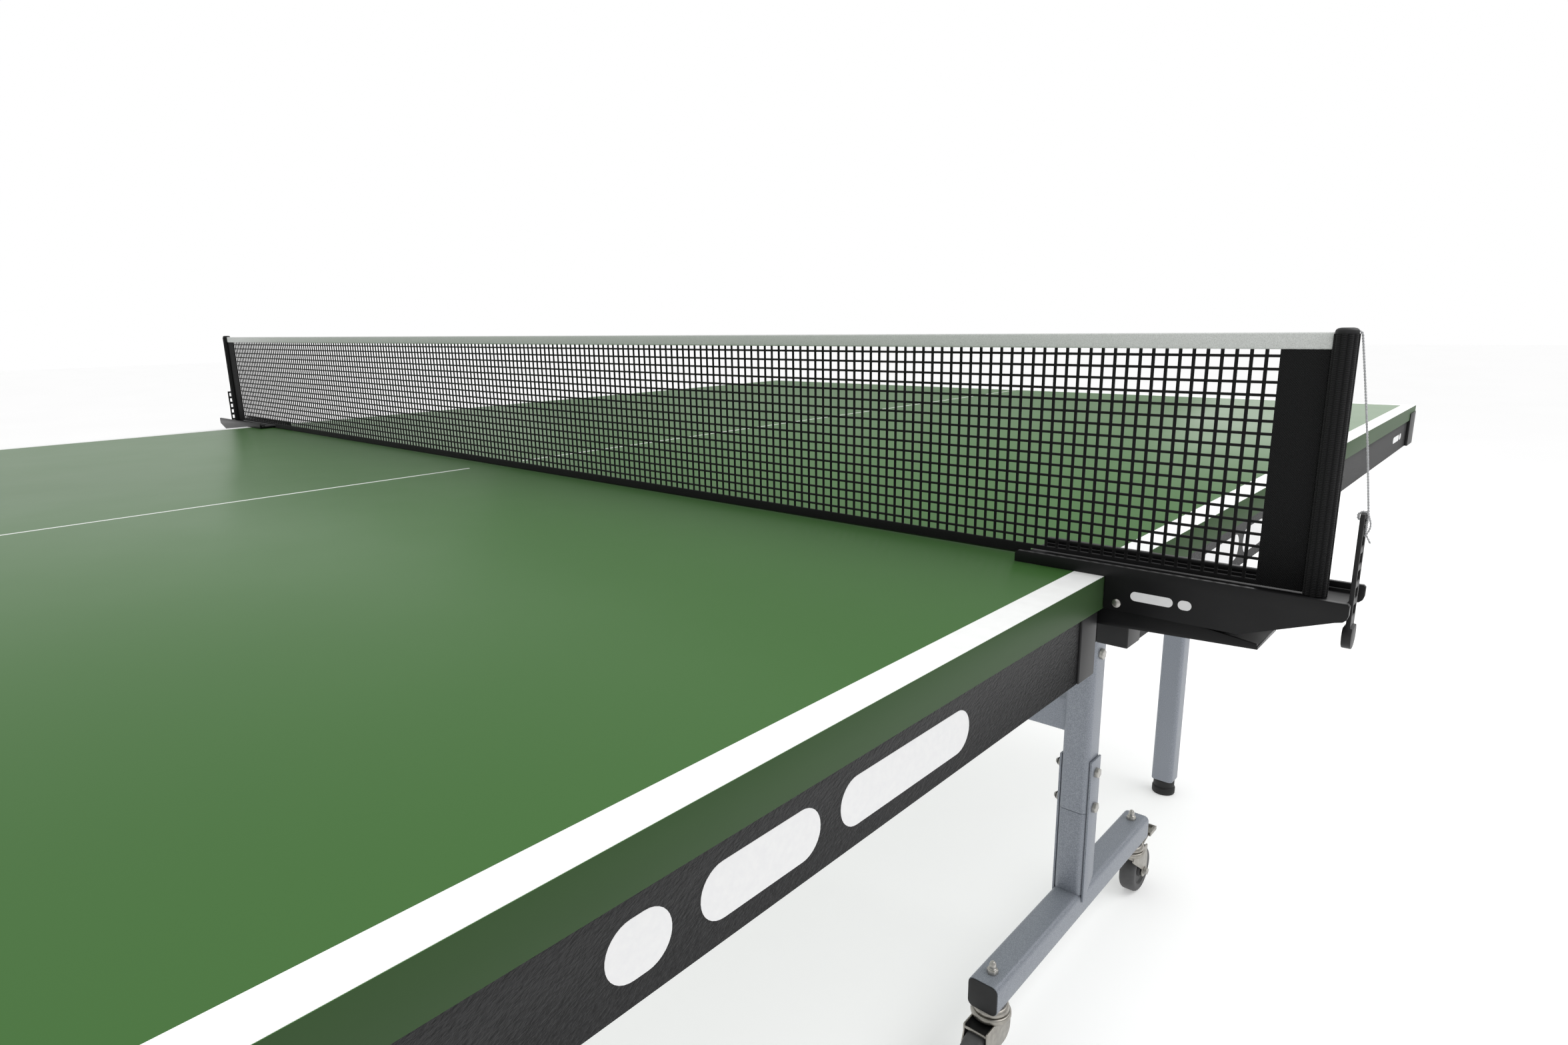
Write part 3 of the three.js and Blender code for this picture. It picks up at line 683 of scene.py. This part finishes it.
def add_outer_legs(half, y, body):
    x = OUTER["x"]
    shape = ear(OUTER_PIVOT, OUTER["y"] - 14, OUTER["y"] + 4, OUTER["top"] - 2, EAR_LOW)
    parts, bolts = [], []
    for s in (1, -1):
        section = square_tube(x, OUTER["y"], TUBE["half"])
        tube = soft(prism("z", section, OUTER["bottom"], OUTER["top"]), 0.9, 2, 50)
        pin = rod("x", OUTER_PIVOT, 5, x - TUBE["half"] - 2, x + TUBE["half"] + 2)
        parts += [moved(part, scale=(s, 1, 1)) for part in (tube, pin, *leg_ears(x, TUBE["half"], shape))]
        for side in (-1, 1):
            bolts.append(hex_head("x", OUTER_PIVOT, s * x + side * (TUBE["half"] + 3), side * 4.6, turn=s))
    section = rounded(*OUTER_RAIL["y"], *OUTER_RAIL["z"], 4)
    parts.append(prism("x", section, TUBE["half"] - x, x - TUBE["half"]))
    made = joined(*parts)
    node = f"{half}_outer_leg_frame"
    piece(f"{half}_outer_legs_coat", made, HAMMERTONE, body, [node], (1, y))
    piece(f"{half}_outer_pivot_bolts", joined(*bolts), ZINC, body, mirror=(1, y))


def add_arm(name, mirror, body):
    (x0, x1), (y0, y1), z, r = ARM["x"], ARM["y"], ARM["z"], ARM["r"]
    shape = [*arc((y0, z), r, 90, 270, 14), *arc((y1, z), r, -90, 90, 14)]
    bar = soft(prism("x", shape, x0, x1), 1.6, 3, 50)
    inner = rod("x", (y0, z), 10, x1 - 1, LEG["x"] - LEG["half"] - 0.5)
    outer = rod("x", (y1, z), 10, x0 + 1, OUTER["x"] + TUBE["half"] + 0.5)
    made = joined(bar, inner, outer)
    piece(f"{name}_arm_bar", made, HAMMERTONE, body, [f"{name}_link_arm"], mirror)
    heads = joined(hex_head("x", (y1, z), x1, 4.2), hex_head("x", (y0, z), x0, -4.2))
    piece(f"{name}_arm_bolts", heads, ZINC, body, mirror=mirror)


def add_levelling_foot(name, mirror, body):
    r, base, top = 21, 14, 29.7
    profile = [
        (0, 0), (r - 2, 0), (r - 0.6, 0.6), (r, 2),
        (r, base - 2), (r - 0.6, base - 0.6), (r - 1.8, base), (r - 2.2, base + 0.5), (r - 2, base + 1),
        (r - 1.8, base + 1.4), (r - 1.8, top - 1.6), (r - 2.6, top - 0.4), (r - 3.6, top), (0, top),
    ]
    pad = lathe("z", (OUTER["x"], OUTER["y"]), profile, 40)
    piece(f"{name}_rubber_foot", pad, RUBBER, body, [f"{name}_levelling_foot"], mirror)


# ---- castors, drawn about their own swivel axis and trailing towards +Y ----
def fork_cheek(braked):
    """A braked fork's cheeks slope straight to the axle; the others' are deep and round in front."""
    trail, wheel, front, end, top = CASTOR["trail"], CASTOR["r"], FORK["front"], FORK["end"], FORK["top"]
    head = [(end, top - 0.6), (end - 2, top), *arc((front + 4, top - 6), 6, 90, 180, 5)]
    if braked:
        head.append((front + 1.5, 74.6))
    else:
        head += [(front - 2, 64), *arc((front + 15, 61.5), 17, 188, 268, 8)]
    axle = arc((trail, wheel), 10.5, 148, 350, 14)
    return [*head, *axle, (end + 4.6, wheel + 16), (end + 4, wheel + 23), (end, 72)]


def fork(braked):
    inside, edge = CASTOR["inside"], CASTOR["inside"] + CASTOR["wall"]
    front, back, end, top = FORK["front"], FORK["back"], FORK["end"], FORK["top"]
    cheeks = [soft(prism("x", fork_cheek(braked), s * inside, s * edge), 0.9, 3, 40) for s in (-1, 1)]
    crown = soft(block(0.5 - edge, edge - 0.5, front, FORK["crown"], FORK["under"], top - 0.1), 1, 2)
    roof = [(back - 2, 79.6), (back - 2, 77.6), (end - 1, 77), (end - 1, 79.4)]
    hood = prism("x", roof, -inside - 1, inside + 1)
    rim = soft(block(0.5 - edge, edge - 0.5, end - 2, end - 0.2, 77.6, 81), 0.8, 2)
    return [*cheeks, crown, hood, rim]


def hood_shade_panel():
    """A dark sheet over the hollow top of the hood between the cheeks, above the wheel: painted shade in
    the hollow of the nickel hood.
    """
    inside = CASTOR["inside"] - 0.05
    curve = [(0, 80.2), (0.4, 80.3), (0.65, 80.6), (0.82, 81.1), (0.93, 81.9), (1, 83.2)]
    top = [(inside * a, z) for a, z in curve]
    shape = [*reversed(top), *[(-x, z) for x, z in top[1:]], (-inside, 79.2), (inside, 79.2)]
    return [prism("y", shape, FORK["crown"] - 0.4, FORK["end"] - 2.1)]


def bearing():
    """The two pressed rings that the fork turns in, and the ball race's dark gap between them."""
    low = [(0, 83), (23.2, 83), (24.6, 83.8), (25, 85.2), (24.7, 89), (24, 90.3), (22.6, 90.9), (0, 90.9)]
    rounding = [(22.2, 92.3), (22.5, 94), (21.8, 96.6), (20, 99)]
    high = [(0, 91.3), (20.4, 91.3), *rounding, (18.6, 99.7), (0, 99.7)]
    core = rod("z", (0, 0), 19.6, 90, 92, 28)
    return [lathe("z", (0, 0), low, 40), lathe("z", (0, 0), high, 40), core]


def tyre():
    r, half = CASTOR["r"], CASTOR["half"]
    shoulder = arc((r - 6, half - 6), 6, 90, 0, 5)
    profile = [(25, half - 1.2), *shoulder, *[(a, -b) for a, b in reversed(shoulder)], (25, 1.2 - half)]
    return lathe("x", (CASTOR["trail"], r), profile, 48)


def hub():
    half = CASTOR["half"]
    boss = [(4.8, half), (10.6, half), (11.6, half - 1), (12.4, half - 3.4)]
    side = [*boss, (23, half - 3.8), (24, half - 2.2), (25.4, half - 1.4)]
    profile = [*side, *[(a, -b) for a, b in reversed(side)]]
    return lathe("x", (CASTOR["trail"], CASTOR["r"]), profile, 40)


def castor_bolt():
    at, face = (CASTOR["trail"], CASTOR["r"]), CASTOR["inside"] + CASTOR["wall"]
    washers = [rod("x", at, 6.6, s * face, s * (face + 1.1)) for s in (-1, 1)]
    axle = rod("x", at, 4, -face, face, 20)
    nuts = [hex_head("x", at, face + 1, 4.4, 10), hex_head("x", at, -face - 1, -4.4, 10, 0.8)]
    return [*washers, axle, *nuts]


def add_castor(name, reach, trails, mirror, braked):
    def put(parts):
        return moved(joined(*parts), (LEG["x"], reach, 0), (1, trails, 1))

    fork_body, wheel_body = f"{name}_castor_fork", f"{name}_castor_wheel"
    piece(f"{name}_fork", put(fork(braked)), NICKEL, fork_body, [fork_body], mirror)
    # The dark sheet in the hood is painted shade, laid over the nickel hood's hollow.
    painted_shade = put(hood_shade_panel())
    piece(f"{name}_hood_shade_panel", painted_shade, BLACK_STEEL, fork_body, mirror=mirror)
    piece(f"{name}_bearing", put(bearing()), NICKEL, fork_body, mirror=mirror, smooth=50)
    piece(f"{name}_axle_bolt", put(castor_bolt()), ZINC, fork_body, mirror=mirror)
    piece(f"{name}_tyre", put([tyre()]), TYRE, wheel_body, [wheel_body], mirror, 50)
    piece(f"{name}_hub", put([hub()]), HUB, wheel_body, mirror=mirror)
    if braked:
        pedal = f"{name}_brake_pedal"
        piece(f"{name}_pedal", from_cad(pedal, 0.5), NICKEL, pedal, [pedal])


# ---- net set ----
def strand(axis, at, low, high, wide, deep):
    """One flat cord of the net, with its corners taken off."""
    a, b, c = wide / 2, deep / 2, 0.35
    side = [(a, c - b), (a, b - c), (a - c, b), (c - a, b)]
    side += [(-p, -q) for p, q in side]
    if axis == "z":
        return prism("z", [(at + p, q) for p, q in side], low, high)
    return prism("x", [(q, at + p) for p, q in side], low, high)


def add_net():
    mesh, hem, row, tape = NET["mesh"], NET["hem"], NET["row"], NET["tape"]
    places = [-mesh + 2 * mesh * i / NET_COLUMNS for i in range(1, NET_COLUMNS)]
    parts = [strand("z", place, hem - 1, tape + 1, 2.0, 1.3) for place in places]
    heights = [row + NET["pitch"] * i for i in range(NET_ROWS)]
    parts += [strand("x", height, -mesh - 1, mesh + 1, 1.65, 1.5) for height in heights]
    return piece("net_mesh", joined(*parts), NETTING, "front_top", ["net"])


def add_net_edges():
    """The hem, which hangs lower between the clamps than over them, the end bands and the top tape."""
    mesh, band, hem, tape, top = NET["mesh"], NET["band"], NET["hem"], NET["tape"], NET_HIGH.z
    clear, low, over = 699, NET_LOW.z, 764.3
    right = [(clear, low), (clear, over), (mesh, over), (mesh, hem)]
    shape = [*right, *[(-a, b) for a, b in reversed(right)]]
    hem_cloth = soft(prism("y", shape, -0.9, 0.9), 0.35, 2)
    lower = piece("net_hem", hem_cloth, WOVEN, "front_top")
    made = [lower]
    for side, x in SIDES.items():
        cloth = soft(block(mesh - 1, band - 1, -0.85, 0.85, over, tape + 0.5), 0.35, 2)
        made.append(piece(f"{side}_net_band", cloth, WOVEN, "front_top", mirror=(x, 1)))
    folded = rounded(-1.55, 1.55, tape, top, 1.2, 4)
    ends = band + 0.3
    made.append(piece("net_tape", prism("x", folded, -ends, ends), TAPE, "front_top"))
    return made


def add_post(side, x):
    """The sleeve is knitted in columns, which its section follows, over a steel post with a domed cap."""
    r, foot, top = POST["r"], POST["foot"], POST["sleeve"]
    columns, sides = POST["columns"], 132

    def ring(height, radius, ribs):
        points = []
        for i in range(sides):
            a = TURN * i / sides
            reach = radius + ribs * abs(math.cos(columns * a / 2))
            points.append((POST["x"] + reach * math.cos(a), reach * math.sin(a), height))
        return points

    def ribbed(height):
        return ring(height, r - 0.45, 0.42)

    def smooth(height):
        return ring(height, POST["bore"], 0)

    cloth = loft([ribbed(foot), ribbed(top), smooth(top), smooth(foot)])
    name = f"{side}_net_post"
    sleeve = piece(f"{side}_post_sleeve", cloth, KNIT, "front_top", [name], (x, 1), 60)
    steel = rod("z", (POST["x"], 0), POST["tube"], foot, top)
    piece(f"{side}_post_tube", steel, BLACK_STEEL, "front_top", mirror=(x, 1))
    cap_top = POST_HIGH.z
    plug = [(0, cap_top - 8), (5.3, cap_top - 8), (5.3, cap_top - 3.9)]
    rim = [(POST["cap"], cap_top - 3.6), (POST["cap"], cap_top - 2.3), (5.65, cap_top - 1.5)]
    dome = [(5.2, cap_top - 0.8), (4.4, cap_top - 0.3), (3, cap_top), (0, cap_top)]
    cap = lathe("z", (POST["x"], 0), [*plug, *rim, *dome], 48)
    piece(f"{side}_post_cap", cap, MOULDING, "front_top", mirror=(x, 1), smooth=50)
    return sleeve


def evenly(line, reach):
    """Points along a line, about a reach apart."""
    runs = [0]
    for a, b in zip(line, line[1:]):
        runs.append(runs[-1] + (b - a).length)
    steps, k, points = max(2, round(runs[-1] / reach)), 0, []
    for i in range(steps + 1):
        at = runs[-1] * i / steps
        while k < len(line) - 2 and runs[k + 1] < at:
            k += 1
        points.append(line[k].lerp(line[k + 1], (at - runs[k]) / (runs[k + 1] - runs[k])))
    return points


def twisted(path, r, pitch):
    """Two plies wound round a line."""
    line = evenly([Vector(p) for p in path], pitch / 8)
    plies = [[], []]
    for i, spot in enumerate(line):
        ahead = line[min(i + 1, len(line) - 1)] - line[max(i - 1, 0)]
        across = ahead.cross((0.2, 1, 0.3)).normalized()
        aside = across.cross(ahead).normalized()
        turn = TURN * i / 8
        for ply, start in zip(plies, (0, math.pi)):
            ply.append(spot + (across * math.cos(turn + start) + aside * math.sin(turn + start)) * r * 0.5)
    return [sweep(ply, r * 0.56, 6) for ply in plies]


def cord_route(x):
    """Out from under the cap, over the sleeve's rim and down to the loop on the strap's head."""
    over = arc((POST["x"] + 5, POST["sleeve"] - 1.1), 2.45, 80, 0, 8)
    start = Vector((over[-1][0], 0, over[-1][1]))
    end = Vector((sum(STRAP["x"]) / 2 + 1.9, 0, STRAP_HIGH.z - 1.4))
    steps, bow = 24, 0.5
    points = [start.lerp(end, i / steps) for i in range(1, steps + 1)]
    for i, p in enumerate(points):
        p.x += bow * math.sin(math.pi * (i + 1) / steps)
    return [Vector((x * p.x, 0, p.z)) for p in [*[Vector((a, 0, b)) for a, b in over], *points]]


def hitches(line, knots):
    """A row of small hitches along a line: a cord wound closely, bulging at each hitch like a bead."""
    line = [Vector(p) for p in line]
    turns, steps = round(knots * 1.5), 9
    wound = []
    for i in range(turns * steps + 1):
        done = i / (turns * steps)
        at = done * (len(line) - 1)
        k = min(int(at), len(line) - 2)
        ahead = line[k + 1] - line[k]
        aside = Vector((0, 1, 0))
        across = ahead.cross(aside).normalized()
        bulge = 0.12 + 0.36 * abs(math.sin(math.pi * knots * done))
        turn = TURN * i / steps
        out = across * math.cos(turn) + aside * math.sin(turn)
        wound.append(line[k].lerp(line[k + 1], at - k) + out * bulge)
    return sweep(wound, 0.4, 7)


def knot_route():
    """A loop through the strap's first slot and over its head, and what hangs from it."""
    middle, centre, r = sum(STRAP["x"]) / 2 - 0.4, STRAP_HIGH.z - 2.1, 2.5
    angles = [math.radians(235 - 10 * i) for i in range(27)]
    loop = [(middle + r * math.cos(a), 0, centre + r * math.sin(a)) for a in angles]
    x, y, z = loop[-1]
    hanging = [(x - 0.1 * min(i, 2), y, z + 0.3 - 1.3 * i) for i in range(9)]
    tail = []
    for i in range(21):
        bend = i / 20
        tail.append((x + 0.5 * (1 - bend) + 1.3 * math.sin(math.pi * bend), 0.6, z + 0.6 - 10 * bend))
    x, y, z = tail[-1]
    tail += [(x + 0.5 * i, y, z - 0.9 * i) for i in range(1, 6)]
    return loop, hanging, tail


def add_cord(side, x):
    strap = f"{side}_tension_strap"
    loop, hanging, tail = knot_route()
    knot_parts = [hitches(loop, 10), hitches(hanging, 7), *twisted(tail, 0.5, 3.2)]
    cords = joined(*knot_parts)
    knot = piece(f"{side}_cord_knot", cords, CORD, strap, mirror=(x, 1), smooth=60)
    route = cord_route(x)
    name = f"{side}_tension_cord"
    plies = joined(*twisted(route, 0.6, 3.2))
    run = piece(f"{side}_tension_twine", plies, CORD, None, [name], smooth=60)
    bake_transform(run)


def add_clamp(side, x):
    clamp, lever, strap = f"{side}_net_clamp", f"{side}_clamp_lever", f"{side}_tension_strap"
    piece(f"{side}_clamp_shell", from_cad(clamp, 0.8, 3), BLACK_STEEL, "front_top", [clamp])
    piece(f"{side}_lever_plate", from_cad(lever, 0.4), BLACK_STEEL, lever, [lever])
    piece(f"{side}_ladder_strap", from_cad(strap, 0.35), MOULDING, strap, [strap])
    heads = []
    for s in (-1, 1):
        face = s * (PLATE_FACE - 0.1)
        dome = [(2.9, 0), (2.8, 0.6), (2.2, 1.2), (1.1, 1.5), (0, 1.6)]
        profile = [(0, face), *[(radius, face + s * out) for radius, out in dome]]
        heads.append(lathe("y", RIVET, profile, 24))
    piece(f"{side}_rivet", joined(*heads), ZINC, "front_top", mirror=(x, 1))
    marks = []
    for s in (-1, 1):
        for bar in ((780, 806, 747.5, 753.5), (809, 817, 747.5, 753.5)):
            marks.append(prism("y", capsule(*bar), s * (PLATE_FACE - 0.05), s * (PLATE_FACE + 0.12)))
    piece(f"{side}_clamp_bars", joined(*marks), PRINT_WHITE, "front_top", mirror=(x, 1))


# ---- the scene round the object ----
def add_camera():
    """Off the right end of the net, looking back and down across the rear half."""
    data = bpy.data.cameras.new("camera")
    data.sensor_width = 36
    data.lens = 20.52
    data.shift_x, data.shift_y = 0.0043, 0.0049
    data.clip_start, data.clip_end = 0.01, 100
    camera = bpy.data.objects.new("camera", data)
    bpy.context.scene.collection.objects.link(camera)
    ahead = Vector((-0.6490, 0.7260, -0.2274)).normalized()
    across = Vector((0.7480, 0.6635, -0.0169))
    up = across.cross(ahead).normalized()
    right = ahead.cross(up)
    turn = Matrix((right, up, -ahead)).transposed().to_4x4()
    camera.matrix_world = Matrix.Translation((0.9750, -0.5787, 0.9240)) @ turn
    bpy.context.scene.camera = camera


def add_floor():
    glow = {"Emission_Color": (1, 1, 1, 1), "Emission_Strength": 0.3}
    floor_paint = Paint("pale_floor", 0.75, Specular_IOR_Level=0.2, **glow)
    floor_paint.colours(floor_paint.noise(900, 2), (0.3, (230, 230, 230)), (0.7, (233, 233, 233)))
    bpy.ops.mesh.primitive_plane_add(size=60, location=(0, 0, -0.0002))
    floor = bpy.context.object
    floor.name = "floor"
    floor.data.materials.append(floor_paint.material)


def add_world():
    """White where the camera sees it; as light, a studio that is brighter overhead than at the horizon."""
    world = bpy.context.scene.world or bpy.data.worlds.new("world")
    bpy.context.scene.world = world
    world.use_nodes = True
    tree = world.node_tree
    place = tree.nodes.new("ShaderNodeTexCoord").outputs["Generated"]
    height = tree.nodes.new("ShaderNodeSeparateXYZ")
    studio = tree.nodes.new("ShaderNodeMapRange")
    rays = tree.nodes.new("ShaderNodeLightPath")
    strength = tree.nodes.new("ShaderNodeMix")
    tree.links.new(place, height.inputs[0])
    tree.links.new(height.outputs["Z"], studio.inputs["Value"])
    studio.inputs["To Min"].default_value = 0.35
    studio.inputs["To Max"].default_value = 1.1
    tree.links.new(rays.outputs["Is Camera Ray"], strength.inputs["Factor"])
    tree.links.new(studio.outputs[0], strength.inputs["A"])
    strength.inputs["B"].default_value = 1.0
    background = tree.nodes["Background"]
    background.inputs["Color"].default_value = (1, 1, 1, 1)
    tree.links.new(strength.outputs[0], background.inputs["Strength"])
    bpy.context.scene.view_settings.view_transform = "Standard"


def add_softbox(name, place, aim, size, power):
    data = bpy.data.lights.new(name, "AREA")
    data.shape = "RECTANGLE"
    data.size, data.size_y = size
    data.energy = power
    lamp = bpy.data.objects.new(name, data)
    bpy.context.scene.collection.objects.link(lamp)
    lamp.location = place
    lamp.rotation_euler = (Vector(aim) - Vector(place)).to_track_quat("-Z", "Y").to_euler()
    lamp.visible_camera = False


def add_lights():
    add_world()
    add_softbox("right_softbox", (2.2, 1.6, 3.6), (0.4, 0.2, 0.5), (3, 3), 68)
    add_softbox("left_softbox", (-5.0, 1.0, 1.5), (0, 0, 0.76), (4, 2.6), 13)
    add_softbox("back_softbox", (0.4, 6.0, 1.4), (0.4, 0, 0.6), (2.6, 2.6), 22)
    add_softbox("fill_softbox", (0, 0, 0.66), (0, 0, 0), (1.2, 2.4), 6)


def build():
    add_camera()
    add_floor()
    add_lights()
    for side, x in SIDES.items():
        add_cord(side, x)
    for half, y in HALVES.items():
        base, top = f"{half}_base", f"{half}_top"
        add_board(half, y, top)
        add_lines(half, y, top)
        add_apron(half, top)
        add_prints(half, y, top)
        add_leg_frame(half, y, base)
        add_outer_legs(half, y, f"{half}_outer_legs")
        for side, x in SIDES.items():
            name, mirror = f"{half}_{side}", (x, y)
            add_leg_base(name, mirror, base)
            add_leg_fasteners(name, mirror, base)
            add_arm(name, mirror, f"{half}_arms")
            add_levelling_foot(name, mirror, f"{name}_levelling_foot")
            add_castor(f"{name}_inner", CASTOR["inner"], -1, mirror, False)
            add_castor(f"{name}_outer", CASTOR["outer"], 1, mirror, True)
    edges = add_net_edges()
    for side, x in SIDES.items():
        edges.append(add_post(side, x))
        add_clamp(side, x)
    net = add_net()


build()
